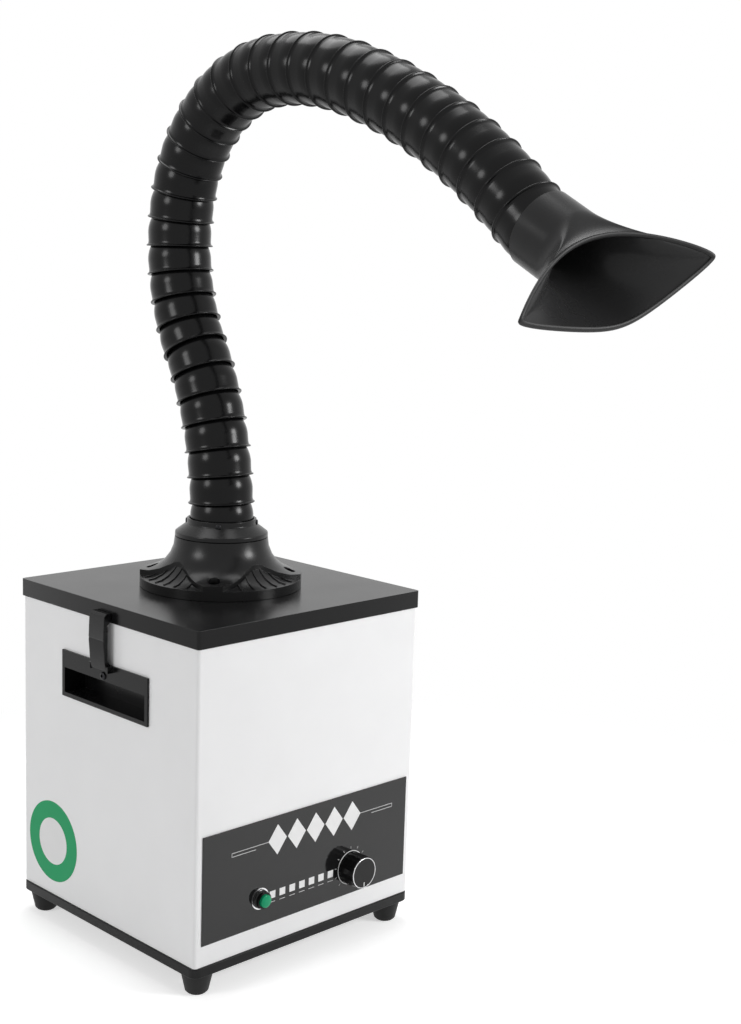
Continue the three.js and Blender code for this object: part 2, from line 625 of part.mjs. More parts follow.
// One pocket between two lobes, drawn in plan and opening towards +X
function pocketCutter() {
  const plan = new THREE.Shape();
  const haunch = 2 * POCKET_CROWN;
  plan.moveTo(FLANGE_RADIUS + 1, -POCKET_HALF_WIDTH);
  plan.lineTo(POCKET_SHOULDER, -POCKET_HALF_WIDTH);
  plan.bezierCurveTo(POCKET_SHOULDER, -haunch, POCKET_PEAK, -POCKET_CROWN, POCKET_PEAK, 0);
  plan.bezierCurveTo(POCKET_PEAK, POCKET_CROWN, POCKET_SHOULDER, haunch, POCKET_SHOULDER, POCKET_HALF_WIDTH);
  plan.lineTo(FLANGE_RADIUS + 1, POCKET_HALF_WIDTH);
  plan.closePath();
  const options = { depth: FLANGE_HEIGHT, bevelEnabled: false, curveSegments: 6 };
  const block = new THREE.ExtrudeGeometry(plan, options);
  return solid(block.translate(0, 0, FLANGE_RIM - 1));
}

// Collar screwed over the foot of the arm's first ball, which swivels under it
function hoseCollar() {
  const bore = boreRadius(BALL_RADIUS, 32);
  const footBore = SWIVEL_FOOT_RADIUS + 2 * GAP;
  return revolveRing([
    [footBore, 0], [SHOULDER_RADIUS, 0], [SHOULDER_RADIUS, COLLAR_EDGE],
    [COLLAR_TOP_RADIUS, COLLAR_HEIGHT - COLLAR_NECK], [COLLAR_TOP_RADIUS, COLLAR_HEIGHT],
    [bore, COLLAR_HEIGHT],
    [bore, SWIVEL_FOOT + GAP], [footBore, SWIVEL_FOOT + GAP],
  ], 32);
}

// Tilt at which the next lip rides on a ball when the arm is straight
const lipTilt = THREE.MathUtils.radToDeg(Math.asin(LIP_RISE / BALL_RADIUS));

const onBall = (tilt, radius = BALL_RADIUS) =>
  [radius * Math.cos(radians(tilt)), radius * Math.sin(radians(tilt))];

// The ball that starts the arm, on a swivel foot; its pivot is the origin
function armBase() {
  const footZ = collarZ - armPivotZ;
  const bore = BALL_RADIUS - 2 * BALL_WALL;
  return revolveRing([
    [bore, footZ], [SWIVEL_FOOT_RADIUS, footZ], [SWIVEL_FOOT_RADIUS, footZ + SWIVEL_FOOT - GAP],
    [BALL_RADIUS, footZ + SWIVEL_FOOT - GAP], onBall(0), onBall(lipTilt / 2), onBall(lipTilt),
    onBall(BALL_END),
    onBall(BALL_END, BALL_RADIUS - BALL_WALL), [bore, 0],
  ], ARM_SIDES);
}

// Inner radius of a skirt that slides over a ball whose centre lies the given rise below its lip.
// Slip is the angle that the ball's facet edges can move round past those of the skirt.
const skirtRadius = (rise, gap, sides, slip) => {
  const facet = Math.PI / sides;
  const ease = Math.cos(facet - Math.min(slip, facet)) / Math.cos(facet);
  return ease * Math.sqrt((BALL_RADIUS + gap) ** 2 - rise ** 2);
};
const lipSlip = Math.asin(
  LIP_RISE * Math.sin(radians(ARM_BEND_LIMIT)) / Math.sqrt(BALL_RADIUS ** 2 - LIP_RISE ** 2));

// One arm segment about its own pivot: lip and barrel below, ball for the next one above
function armSegment() {
  const ballAt = (tilt, radius) => {
    const [r, z] = onBall(tilt, radius);
    return [r, PITCH + z];
  };
  const beadTop = LIP_RISE + LIP_BEAD;
  const lipBore = skirtRadius(LIP_RISE, ARM_GAP, ARM_SIDES, lipSlip);
  return revolveRing([
    [lipBore, LIP_RISE], [LIP_RADIUS, LIP_RISE], [LIP_RADIUS, beadTop],
    [BARREL_RADIUS, beadTop + LIP_STEP], ballAt(0), ballAt(lipTilt / 2), ballAt(lipTilt), ballAt(BALL_END),
    ballAt(BALL_END, BALL_RADIUS - BALL_WALL),
  ], ARM_SIDES);
}

// Rim of the hood's mouth at a given angle: straight flanks, blunt tips and a longer lower lip
function hoodRim(angle, wall) {
  const side = Math.cos(angle);
  const lip = Math.sin(angle) >= 0 ? HOOD_UPPER : HOOD_LOWER;
  const eased = (offset) => Math.hypot(offset, lip.corner);
  const swell = (eased(1) - eased(side)) / (eased(1) - eased(0));
  const rise = (lip.height - HOOD_TIP) * swell + (HOOD_TIP - wall) * Math.sqrt(1 - side ** 8);
  return new THREE.Vector3(
    (HOOD_HALF_WIDTH - 2 * wall) * side,
    Math.sign(Math.sin(angle)) * rise,
    HOOD_TIP_REACH + (lip.reach - HOOD_TIP_REACH) * swell,
  );
}

// Scoop hood: a round skirt over the last ball, lofted out to the wide mouth
function hood() {
  const bore = skirtRadius(HOOD_LIP_RISE, GAP, HOOD_SIDES, Math.PI);
  const ring = (radius, z) => (angle) =>
    new THREE.Vector3(radius * Math.cos(angle), radius * Math.sin(angle), z);
  const blend = (radius, wall, share) => (angle) => {
    const neck = ring(radius, HOOD_NECK_END)(angle);
    const rim = hoodRim(angle, wall);
    const flare = share ** 2;
    return new THREE.Vector3(
      THREE.MathUtils.lerp(neck.x, rim.x, flare),
      THREE.MathUtils.lerp(neck.y, rim.y, flare),
      THREE.MathUtils.lerp(neck.z, rim.z, share),
    );
  };
  const shares = Array.from({ length: HOOD_RINGS + 1 }, (_, i) => i / HOOD_RINGS);
  const outside = shares.map((share) => blend(bore + HOOD_WALL, 0, share));
  const inside = shares.map((share) => blend(bore, HOOD_WALL, share)).reverse();
  const loops = [ring(bore + HOOD_WALL, HOOD_LIP_RISE), ...outside, ...inside, ring(bore, HOOD_LIP_RISE)];
  return solid(loopedSurface(loops, HOOD_SIDES));
}

// Closed surface through rings of points: each ring joined to the next and the last to the first
function loopedSurface(rings, sides) {
  const turns = Array.from({ length: sides }, (_, k) => 2 * Math.PI * k / sides);
  const corners = rings.flatMap((ring) => turns.map(ring));
  const faces = [];
  for (let r = 0; r < rings.length; r += 1) {
    const [here, next] = [r * sides, ((r + 1) % rings.length) * sides];
    for (let k = 0; k < sides; k += 1) {
      const beside = (k + 1) % sides;
      faces.push(here + k, here + beside, next + beside, here + k, next + beside, next + k);
    }
  }
  return new THREE.BufferGeometry().setFromPoints(corners).setIndex(faces);
}

// Cabinet, its fittings and what it holds
object.add(mesh('base_tray', baseTray(), blackPlastic));
footPlaces().forEach(([x, y], i) => {
  const piece = mesh(`foot_${i + 1}`, foot(), rubber);
  piece.position.set(x, y, 0);
  object.add(piece);
});
object.add(mesh('cabinet_shell', cabinetShell(), whiteEnamel));
object.add(mesh('control_panel', controlPanel(), panelGrey));
object.add(mesh('lamp_bezel', lampBezel(), blackPlastic));
object.add(mesh('lamp_lens', lampLens(), greenLens));
object.add(mesh('potentiometer', potentiometer(), steel));
object.add(mesh('speed_knob', speedKnob(), blackPlastic));
for (const [side, sign] of [['left', -1], ['right', 1]]) {
  object.add(mesh(`handle_${side}`, handle(sign), blackPlastic));
  object.add(mesh(`latch_${side}`, latch(sign), blackPlastic));
}
object.add(mesh('fan_deck', fanDeck(), steel));
object.add(mesh('blower_housing', blowerHousing(), blackPlastic));
object.add(mesh('impeller', impeller(), blackPlastic));
const carbonZ = deckZ + GAP;
const hepaZ = carbonZ + CARBON_HEIGHT + GAP;
const prefilterZ = handleZ - FILTER_HEADROOM - PREFILTER_HEIGHT;
const hepaHeight = prefilterZ - GAP - hepaZ;
object.add(mesh('carbon_filter', filterBlock(carbonZ, CARBON_HEIGHT), carbonMedia));
object.add(mesh('hepa_filter', filterBlock(hepaZ, hepaHeight), filterPaper));
object.add(mesh('prefilter', filterBlock(prefilterZ, PREFILTER_HEIGHT), filterPad));
object.add(mesh('power_inlet', powerInlet(), blackPlastic));

// Lid with the flange and collar that hold the arm
object.add(mesh('lid', lid(), blackEnamel));
const flange = mesh('hose_flange', hoseFlange(), blackPlastic);
flange.position.z = flangeZ;
object.add(flange);
const collar = mesh('hose_collar', hoseCollar(), blackPlastic);
collar.position.z = collarZ;
object.add(collar);

// Arm: each segment's group turns about its pivot, the centre of the ball below it
const armRoot = new THREE.Group();
armRoot.position.z = armPivotZ;
armRoot.add(mesh('arm_base', armBase(), glossPlastic));
object.add(armRoot);
const segment = armSegment();
let carrier = armRoot;
let number = 0;
for (const [count, bend] of ARM_STRETCHES) {
  for (let i = 0; i < count; i += 1) {
    const link = new THREE.Group();
    link.position.z = number === 0 ? 0 : PITCH;
    link.rotation.x = radians(bend);
    number += 1;
    link.add(mesh(`arm_segment_${String(number).padStart(2, '0')}`, segment, glossPlastic));
    carrier.add(link);
    carrier = link;
  }
}
const hoodMount = new THREE.Group();
hoodMount.position.z = PITCH;
hoodMount.rotation.x = radians(HOOD_TILT);
const hoodPiece = mesh('hood', hood(), blackPlastic);
hoodPiece.rotation.z = radians(HOOD_TURN);
hoodMount.add(hoodPiece);
carrier.add(hoodMount);

// The origin is on the floor, under the middle of the whole object's box
const model = new THREE.Group();
model.add(object);
model.updateMatrixWorld(true);
const extent = new THREE.Box3().setFromObject(model, true);
const middle = extent.getCenter(new THREE.Vector3());
object.position.set(-middle.x, -middle.y, -extent.min.z);

export default model;
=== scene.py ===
"""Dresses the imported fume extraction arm: smooth shapes, finishes, small fittings, studio and camera."""
import json
import math

import bmesh
import bpy
from mathutils import Matrix, Vector


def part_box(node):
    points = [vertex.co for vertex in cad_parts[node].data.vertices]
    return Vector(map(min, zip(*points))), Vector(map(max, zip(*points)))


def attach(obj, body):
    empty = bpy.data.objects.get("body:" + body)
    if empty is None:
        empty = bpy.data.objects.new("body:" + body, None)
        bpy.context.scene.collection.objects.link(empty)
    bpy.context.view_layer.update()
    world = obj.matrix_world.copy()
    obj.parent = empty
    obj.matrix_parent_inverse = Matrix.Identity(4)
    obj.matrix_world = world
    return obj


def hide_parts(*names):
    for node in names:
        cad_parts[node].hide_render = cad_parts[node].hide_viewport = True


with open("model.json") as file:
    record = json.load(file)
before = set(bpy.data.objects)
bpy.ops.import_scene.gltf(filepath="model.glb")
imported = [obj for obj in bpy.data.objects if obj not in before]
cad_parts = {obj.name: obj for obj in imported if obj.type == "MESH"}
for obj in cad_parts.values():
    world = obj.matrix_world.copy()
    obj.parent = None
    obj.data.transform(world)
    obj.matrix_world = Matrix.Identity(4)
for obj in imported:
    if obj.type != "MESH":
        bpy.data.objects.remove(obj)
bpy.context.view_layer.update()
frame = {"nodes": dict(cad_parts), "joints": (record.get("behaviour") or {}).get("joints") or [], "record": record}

# Sizes in metres, angles in degrees
EDGE_ROUND = 0.0008
EDGE_STEPS = 2
SHARP_ANGLE = 35
FLAT_ANGLE = 0.4
MERGE_DISTANCE = 1e-5

# Finishes: a slow drift of colour and gloss, and a fine grain
DRIFT_SCALE = 16
DRIFT_DETAIL = 6
DRIFT_RAMP = (0.3, 0.7)
GLOSS_DRIFT = 0.15
GRAIN_DETAIL = 3

# Arm segment: beaded lip, barrel and ball, about the pivot of its own joint
SEGMENT_COUNT = 33
LIP_RADIUS = 0.0386
LIP_RISE = 0.015
LIP_BEAD = 0.0018
LIP_BORE = 0.0346
LIP_FLARE = 0.004
LIP_FLARE_STEPS = ((0.15, 30), (0.5, 60), (1, 90))
LIP_BEAD_STEPS = 6
BARREL_RADIUS = 0.0362
BALL_RADIUS = 0.0366
BALL_WALL = 0.0026
BALL_END = 40
BALL_STEPS = 9
BALL_EDGE = 6
BALL_EDGE_STEPS = 2
BASE_START = -6
BASE_STEP = (0.003, 0.0034)
ARM_SIDES = 64

# Hood: round skirt drawn out to a wide lens-shaped mouth
HOOD_TURN = 15.5
HOOD_LIP_RISE = 0.008
HOOD_BORE = 0.0366
HOOD_WALL = 0.0022
HOOD_NECK_STEP = 0.018
HOOD_NECK_END = 0.044
HOOD_HALF_WIDTH = 0.126
HOOD_TIP_REACH = 0.116
HOOD_TIP = 0.006
HOOD_TIP_POWER = 8
HOOD_FLARE_POWER = 2
HOOD_UPPER = {"height": 0.025, "reach": 0.069, "corner": 1.2}
HOOD_LOWER = {"height": 0.0335, "reach": 0.129, "corner": 0.3}
HOOD_RIM = (0.0027, 0.0017)
HOOD_SIDES = 128
RIM_SIDES = 12
HOOD_RINGS = 24

# Panel print, as plain marks
PRINT_DEPTH = 0.00012
DIAMOND_HALF = (0.0135, 0.0175)
DIAMOND_PITCH = 0.0286
DIAMOND_COUNT = 5
DIAMOND_X = 0.008
DIAMOND_RISE = 0.0945
MARK_HALF = 0.0042
MARK_PITCH = 0.0147
MARK_COUNT = 7
MARK_X = -0.011
LINE_HALF = 0.0004
LINE_LENGTH = 0.052
LINE_RETURN = 0.034
LINE_STEP = 0.004
UNDERLINE_DROP = 0.0085
DIAL_TICKS = 11
DIAL_SWEEP = 270
DIAL_RADIUS = 0.0225
DIAL_TICK = 0.0028

# Round sticker on the left side
STICKER_RADIUS = 0.0485
STICKER_DISC = 0.028
STICKER_SETBACK = 0.103
STICKER_HEIGHT = 0.1015
STICKER_DEPTH = 0.0002
STICKER_SINK = 0.0001
STICKER_HOLE = 0.0002
STICKER_SIDES = 96

# Fittings
KNOB_TRIM = 0.0005
KNOB_TRIM_INSET = 0.0016
KNOB_TRIM_SIDES = 8
POINTER = (0.0006, 0.0052)
POINTER_INSET = 0.0026
BASE_RING = 0.0003
RING_SIDES = 64
LAMP_SLEEVE = (0.0076, 0.0094)
LENS_PROUD = 0.0042
LAMP_RING = (0.0107, 0.0122)
KNOB_RING = (0.0192, 0.0202)
BOLT_RADIUS = 0.0048
BOLT_CIRCLE = 0.08
BOLT_RISE = 0.0085
SCREW_RADIUS = 0.0032
SCREW_DROP = 0.0045
COLLAR_NECK = 0.0405
HANDLE_PROUD = 0.0028
HANDLE_SCREW_DROP = 0.0142
HANDLE_SCREW_RADIUS = 0.0046

# Screw head: a dome with a socket, in shares of its radius
SCREW_SINK = 0.3
SCREW_DOME = 0.3
SCREW_DOME_RISE = 0.15
SCREW_DOME_END = 80
SCREW_DOME_STEPS = 4
SCREW_CROWN = 0.5
SCREW_SOCKET = 0.42
SCREW_SOCKET_STEPS = ((0.9, 0.05), (0.2, 0.02))
SCREW_SIDES = 24

# Studio
WORLD_LEVEL = 0.34
FLOOR_SPAN = 6
FLOOR_COLOUR = (0.8, 0.8, 0.8, 1)
FLOOR_LIFT = 0.52
FLOOR_FADE = (0.45, 1.1)

# Camera fitted to the photograph's cabinet edges
PHOTO_HEIGHT = 1024
SENSOR_HEIGHT = 36
FOCAL_PIXELS = 1574
CAMERA_AZIMUTH = -45.19
CAMERA_ELEVATION = 9.42
CAMERA_ROLL = 1.84
CAMERA_OFFSET = Vector((-1.1576, -1.3932, 0.7976))

bodies = {node: body for body, nodes in frame["record"]["behaviour"]["bodies"].items() for node in nodes}
joints = {joint["child"]: joint for joint in frame["joints"]}
shell_low, shell_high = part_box("cabinet_shell")
axis_y = (shell_low.y + shell_high.y) / 2


# Finishes

def surface(name, colour, rough, grain=700, bump=0.00002, vary=0.08, metallic=0.0, specular=0.5,
            stretch=(1, 1, 1)):
    """Principled finish whose colour and roughness drift slowly and whose relief is a fine grain."""
    made = bpy.data.materials.new(name)
    made.use_nodes = True
    nodes, links = made.node_tree.nodes, made.node_tree.links
    shader = nodes["Principled BSDF"]
    shader.inputs["Metallic"].default_value = metallic
    shader.inputs["Specular IOR Level"].default_value = specular
    place = nodes.new("ShaderNodeTexCoord")
    mapping = nodes.new("ShaderNodeMapping")
    mapping.inputs["Scale"].default_value = stretch
    links.new(place.outputs["Object"], mapping.inputs["Vector"])

    drift = nodes.new("ShaderNodeTexNoise")
    drift.inputs["Scale"].default_value = DRIFT_SCALE
    drift.inputs["Detail"].default_value = DRIFT_DETAIL
    links.new(mapping.outputs["Vector"], drift.inputs["Vector"])
    ramp = nodes.new("ShaderNodeValToRGB")
    for stop, position, level in zip(ramp.color_ramp.elements, DRIFT_RAMP, (1 - vary, 1 + vary)):
        stop.position = position
        stop.color = [*(min(1, c * level) for c in colour), 1]
    links.new(drift.outputs["Fac"], ramp.inputs["Fac"])
    links.new(ramp.outputs["Color"], shader.inputs["Base Color"])
    gloss = nodes.new("ShaderNodeMapRange")
    gloss.inputs["To Min"].default_value = rough * (1 - GLOSS_DRIFT)
    gloss.inputs["To Max"].default_value = rough * (1 + GLOSS_DRIFT)
    links.new(drift.outputs["Fac"], gloss.inputs["Value"])
    links.new(gloss.outputs["Result"], shader.inputs["Roughness"])

    fine = nodes.new("ShaderNodeTexNoise")
    fine.inputs["Scale"].default_value = grain
    fine.inputs["Detail"].default_value = GRAIN_DETAIL
    links.new(mapping.outputs["Vector"], fine.inputs["Vector"])
    relief = nodes.new("ShaderNodeBump")
    relief.inputs["Distance"].default_value = bump
    links.new(fine.outputs["Fac"], relief.inputs["Height"])
    links.new(relief.outputs["Normal"], shader.inputs["Normal"])
    return made


white_enamel = surface("white_enamel", (0.86, 0.86, 0.865), 0.36, grain=900, bump=0.00003, vary=0.012)
black_enamel = surface("black_enamel", (0.0045, 0.0045, 0.0047), 0.23, grain=1100, specular=0.22)
arm_plastic = surface("arm_plastic", (0.003, 0.003, 0.0032), 0.22, grain=300, bump=0.00001, specular=0.17)
satin_plastic = surface("satin_plastic", (0.004, 0.004, 0.0042), 0.27, grain=1200, specular=0.24)
hood_plastic = surface("hood_plastic", (0.028, 0.028, 0.0284), 0.27, grain=1400, bump=0.00001,
                       specular=0.12)
hood_edge = surface("hood_edge", (0.013, 0.013, 0.0133), 0.5, grain=1400, bump=0.00001, specular=0.3)
tray_plastic = surface("tray_plastic", (0.007, 0.007, 0.0073), 0.42, grain=1500, bump=0.00004, specular=0.2)
foot_rubber = surface("foot_rubber", (0.011, 0.011, 0.011), 0.6, grain=2200, bump=0.00006, vary=0.15,
                      specular=0.25)
panel_film = surface("panel_film", (0.008, 0.008, 0.0083), 0.09, grain=2600, bump=0.000001, vary=0.05,
                     specular=0.42)
print_white = surface("print_white", (0.82, 0.82, 0.82), 0.5, grain=2600, vary=0.03)
print_grey = surface("print_grey", (0.5, 0.5, 0.5), 0.5, grain=2600, vary=0.03)
sticker_green = surface("sticker_green", (0.01, 0.33, 0.123), 0.45, grain=2000, vary=0.04, specular=0.18)
bright_metal = surface("bright_metal", (0.78, 0.78, 0.79), 0.2, grain=500, metallic=1.0, stretch=(1, 1, 12))
dark_steel = surface("dark_steel", (0.025, 0.025, 0.027), 0.35, grain=900, metallic=0.9)
zinc_steel = surface("zinc_steel", (0.6, 0.6, 0.61), 0.34, grain=400, metallic=1.0, stretch=(1, 9, 1))
lens_green = surface("lens_green", (0.002, 0.34, 0.15), 0.16, grain=1600, vary=0.2, specular=0.2)
carbon_grain = surface("carbon_grain", (0.02, 0.02, 0.02), 0.8, grain=420, bump=0.0008, vary=0.5)
pleat_paper = surface("pleat_paper", (0.8, 0.78, 0.72), 0.85, grain=60, bump=0.0012, stretch=(6, 0.2, 1))
felt_pad = surface("felt_pad", (0.7, 0.74, 0.76), 0.95, grain=1300, bump=0.0004, vary=0.08)


# Piece makers

def put(mesh, name, finish, body, replaced=()):
    """Makes a smooth-shaded piece of the mesh that rides on a body and may stand for CAD nodes."""
    mesh.materials.clear()
    mesh.materials.append(finish)
    mesh.shade_smooth()
    mesh.set_sharp_from_angle(angle=math.radians(SHARP_ANGLE))
    piece = bpy.data.objects.new(name, mesh)
    bpy.context.scene.collection.objects.link(piece)
    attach(piece, body)
    if replaced:
        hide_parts(*replaced)
    return piece


def dressed(node, finish, edge=EDGE_ROUND, joined=True):
    """A copy of a CAD node's mesh, its flat faces joined or left in triangles, its edges rounded."""
    source = bmesh.new()
    source.from_mesh(frame["nodes"][node].data)
    bmesh.ops.remove_doubles(source, verts=source.verts, dist=MERGE_DISTANCE)
    if joined:
        flat = math.radians(FLAT_ANGLE)
        bmesh.ops.dissolve_limit(source, angle_limit=flat, verts=source.verts, edges=source.edges)
    mesh = bpy.data.meshes.new(f"{node}_skin")
    source.to_mesh(mesh)
    source.free()
    if "custom_normal" in mesh.attributes:
        mesh.attributes.remove(mesh.attributes["custom_normal"])
    piece = put(mesh, f"{node}_skin", finish, bodies[node], [node])
    rounding = piece.modifiers.new("edges", "BEVEL")
    rounding.width = edge
    rounding.segments = EDGE_STEPS
    rounding.limit_method = "ANGLE"
    rounding.angle_limit = math.radians(SHARP_ANGLE)
    rounding.use_clamp_overlap = joined
    rounding.harden_normals = True


def lofted(name, rings, matrix, closed=True):
    """Mesh through rings of points, each joined to the next and, if closed, the last to the first."""
    mesh = bpy.data.meshes.new(name)
    sides = len(rings[0])
    points = [matrix @ point for ring in rings for point in ring]
    faces = []
    for r in range(len(rings) if closed else len(rings) - 1):
        here, following = r * sides, (r + 1) % len(rings) * sides
        for k in range(sides):
            beside = (k + 1) % sides
            faces.append((here + k, here + beside, following + beside, following + k))
    if not closed:
        faces += [tuple(reversed(range(sides))), tuple(range(len(points) - sides, len(points)))]
    mesh.from_pydata(points, [], faces)
    return mesh


def turned(name, profile, matrix, sides=48, closed=True):
    """Mesh of a profile of (radius, height) points turned about the matrix's Z axis."""
    turns = [2 * math.pi * k / sides for k in range(sides)]
    rings = [[Vector((r * math.cos(t), r * math.sin(t), z)) for t in turns] for r, z in profile]
    return lofted(name, rings, matrix, closed)


def along(place, axis, across=(1, 0, 0)):
    """Matrix at a place whose Z runs along axis and whose X is as near across as it can be."""
    z = Vector(axis).normalized()
    y = z.cross(Vector(across)).normalized()
    turn = Matrix((y.cross(z), y, z)).transposed()
    return Matrix.Translation(place) @ turn.to_4x4()


def arc(centre, radius, start, end, steps):
    """Points of a circular arc in a profile, by angle from the radial direction."""
    angles = [math.radians(start + (end - start) * i / steps) for i in range(steps + 1)]
    return [(centre[0] + radius * math.cos(a), centre[1] + radius * math.sin(a)) for a in angles]


def plates(name, outlines, depth):
    """Mesh of flat outlines in X and Z, each raised towards -Y by the depth."""
    mesh = bpy.data.meshes.new(name)
    points, faces = [], []
    for outline in outlines:
        first, count = len(points), len(outline)
        points += [(p.x, p.y, p.z) for p in outline] + [(p.x, p.y - depth, p.z) for p in outline]
        faces.append(tuple(reversed(range(first, first + count))))
        faces.append(tuple(range(first + count, first + 2 * count)))
        for k in range(count):
            beside = (k + 1) % count
            faces.append((first + k, first + beside, first + count + beside, first + count + k))
    mesh.from_pydata(points, [], faces)
    return mesh


def screw(name, place, axis, radius, body):
    """Domed screw head with a socket, seated on a surface."""
    socket = radius * SCREW_SOCKET
    dome = (radius * (1 - SCREW_DOME), radius * SCREW_DOME_RISE)
    profile = [
        (radius, -radius * SCREW_SINK),
        *arc(dome, radius * SCREW_DOME, 0, SCREW_DOME_END, SCREW_DOME_STEPS),
        (socket, radius * SCREW_CROWN),
        *((socket * width, radius * rise) for width, rise in SCREW_SOCKET_STEPS),
    ]
    seat = along(place, axis, (0, 1, 0))
    put(turned(name, profile, seat, SCREW_SIDES, closed=False), name, dark_steel, body)


# Arm: smooth segments in the places that the joints give

segment_names = [f"segment_{i:02d}" for i in range(1, SEGMENT_COUNT + 1)]
pivots = [Vector(joints[name]["pos_m"]) for name in segment_names] + [Vector(joints["hood"]["pos_m"])]
pitch = (pivots[1] - pivots[0]).length


def ball(centre, start):
    """Profile over a ball from a tilt to its open end and back inside to the bore."""
    return [*arc((0, centre), BALL_RADIUS, start, BALL_END, BALL_STEPS),
            *arc((0, centre), BALL_RADIUS - BALL_WALL, BALL_END, BALL_END - BALL_EDGE, BALL_EDGE_STEPS)]


bead = LIP_BEAD / 2
lip_flare = []
for share, turn in LIP_FLARE_STEPS:
    drop = (LIP_RADIUS - bead - BARREL_RADIUS) * math.sin(math.radians(turn))
    lip_flare.append((LIP_RADIUS - bead - drop, LIP_RISE + LIP_BEAD + LIP_FLARE * share))
segment_profile = [
    (LIP_BORE, LIP_RISE + bead / 2), (LIP_BORE + bead, LIP_RISE),
    *arc((LIP_RADIUS - bead, LIP_RISE + bead), bead, -90, 70, LIP_BEAD_STEPS), *lip_flare, *ball(pitch, 0),
]
for name, here, following in zip(segment_names, pivots, pivots[1:]):
    place = along(here, following - here)
    mesh = turned(f"arm_{name}_skin", segment_profile, place, ARM_SIDES)
    put(mesh, f"arm_{name}_skin", arm_plastic, name, [f"arm_{name}"])

base_low, base_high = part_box("arm_base")
foot_rise = base_low.z - pivots[0].z
base_bore = BALL_RADIUS - 2 * BALL_WALL
base_profile = [
    (base_bore, foot_rise), (base_high.x, foot_rise), (base_high.x, foot_rise + BASE_STEP[0]),
    (BALL_RADIUS, foot_rise + BASE_STEP[1]), *ball(0, BASE_START), (base_bore, 0),
]
put(turned("arm_base_skin", base_profile, Matrix.Translation(pivots[0]), ARM_SIDES), "arm_base_skin",
    arm_plastic, "arm_base", ["arm_base"])


# Hood

def hood_rim(angle, wall):
    """Point of the mouth's rim: straight flanks, blunt tips and a longer lower lip."""
    side = math.cos(angle)
    lip = HOOD_UPPER if math.sin(angle) >= 0 else HOOD_LOWER
    full, here, least = (math.hypot(offset, lip["corner"]) for offset in (1, side, 0))
    swell = (full - here) / (full - least)
    rise = (lip["height"] - HOOD_TIP) * swell + (HOOD_TIP - wall) * math.sqrt(1 - side ** HOOD_TIP_POWER)
    return Vector((
        (HOOD_HALF_WIDTH - 2 * wall) * side,
        math.copysign(rise, math.sin(angle)),
        HOOD_TIP_REACH + (lip["reach"] - HOOD_TIP_REACH) * swell,
    ))


def hood_ring(radius, wall, share):
    """Ring of the hood's skin between the neck, at share 0, and the mouth, at share 1."""
    ring = []
    for k in range(HOOD_SIDES):
        angle = 2 * math.pi * k / HOOD_SIDES
        neck = Vector((radius * math.cos(angle), radius * math.sin(angle), HOOD_NECK_END))
        rim = hood_rim(angle, wall)
        flare = share ** HOOD_FLARE_POWER
        ring.append(Vector((
            neck.x + (rim.x - neck.x) * flare, neck.y + (rim.y - neck.y) * flare,
            neck.z + (rim.z - neck.z) * share,
        )))
    return ring


def hood_neck(radius, rise):
    """Round ring of the hood's skirt."""
    turns = [2 * math.pi * k / HOOD_SIDES for k in range(HOOD_SIDES)]
    return [Vector((radius * math.cos(t), radius * math.sin(t), rise)) for t in turns]


shares = [i / HOOD_RINGS for i in range(HOOD_RINGS + 1)]
skirt_radius = HOOD_BORE + HOOD_WALL
skirt_rises = (HOOD_LIP_RISE, HOOD_LIP_RISE + HOOD_NECK_STEP)
hood_rings = [hood_neck(skirt_radius, rise) for rise in skirt_rises]
hood_rings += [hood_ring(skirt_radius, 0, share) for share in shares]
hood_rings += [hood_ring(HOOD_BORE, HOOD_WALL, share) for share in reversed(shares)]
hood_rings += [hood_neck(HOOD_BORE, rise) for rise in reversed(skirt_rises)]
hood_place = along(pivots[-1], joints["hood"]["axis"]) @ Matrix.Rotation(math.radians(HOOD_TURN), 4, "Z")
hood_mesh = lofted("hood_skin", hood_rings, hood_place)
put(hood_mesh, "hood_skin", hood_plastic, "hood", ["hood"])


def rim_bead():
    """Thick rounded lip that runs round the hood's mouth."""
    path = [hood_rim(2 * math.pi * k / HOOD_SIDES, HOOD_WALL / 2) for k in range(HOOD_SIDES)]
    rings = []
    for k, point in enumerate(path):
        run = (path[(k + 1) % HOOD_SIDES] - path[k - 1]).normalized()
        out = run.cross(Vector((0, 0, 1))).normalized()
        up = out.cross(run)
        across, deep = HOOD_RIM[0] * out, HOOD_RIM[1] * up
        turns = [2 * math.pi * j / RIM_SIDES for j in range(RIM_SIDES)]
        rings.append([point + math.cos(t) * across - math.sin(t) * deep for t in turns])
    return lofted("hood_rim", rings, hood_place)


put(rim_bead(), "hood_rim", hood_edge, "hood")


# Cabinet, lid and flange

dressed("cabinet_shell", white_enamel, edge=0.0006)
dressed("lid", black_enamel, edge=0.0012)
dressed("base_tray", tray_plastic, edge=0.001, joined=False)
dressed("control_panel", panel_film, edge=0.0002)
dressed("lamp_bezel", satin_plastic, edge=0.0004)
dressed("lamp_lens", lens_green, edge=0.0003)
dressed("speed_knob", satin_plastic, edge=0.0003)
dressed("power_inlet", tray_plastic, edge=0.0005)
dressed("hose_flange", satin_plastic, edge=0.0007)
dressed("hose_collar", satin_plastic, edge=0.0009)
for number in range(1, 5):
    dressed(f"foot_{number}", foot_rubber, edge=0.001)
for side in ("left", "right"):
    dressed(f"handle_{side}", satin_plastic)
    dressed(f"latch_{side}", satin_plastic, edge=0.0006)

# What the cabinet holds keeps its CAD solid and gets its finish
inner_finishes = {
    "fan_deck": zinc_steel, "potentiometer": zinc_steel,
    "blower_housing": tray_plastic, "impeller": tray_plastic,
    "carbon_filter": carbon_grain, "hepa_filter": pleat_paper, "prefilter": felt_pad,
}
for node, finish in inner_finishes.items():
    slot = frame["nodes"][node].material_slots[0]
    slot.link = "OBJECT"
    slot.material = finish

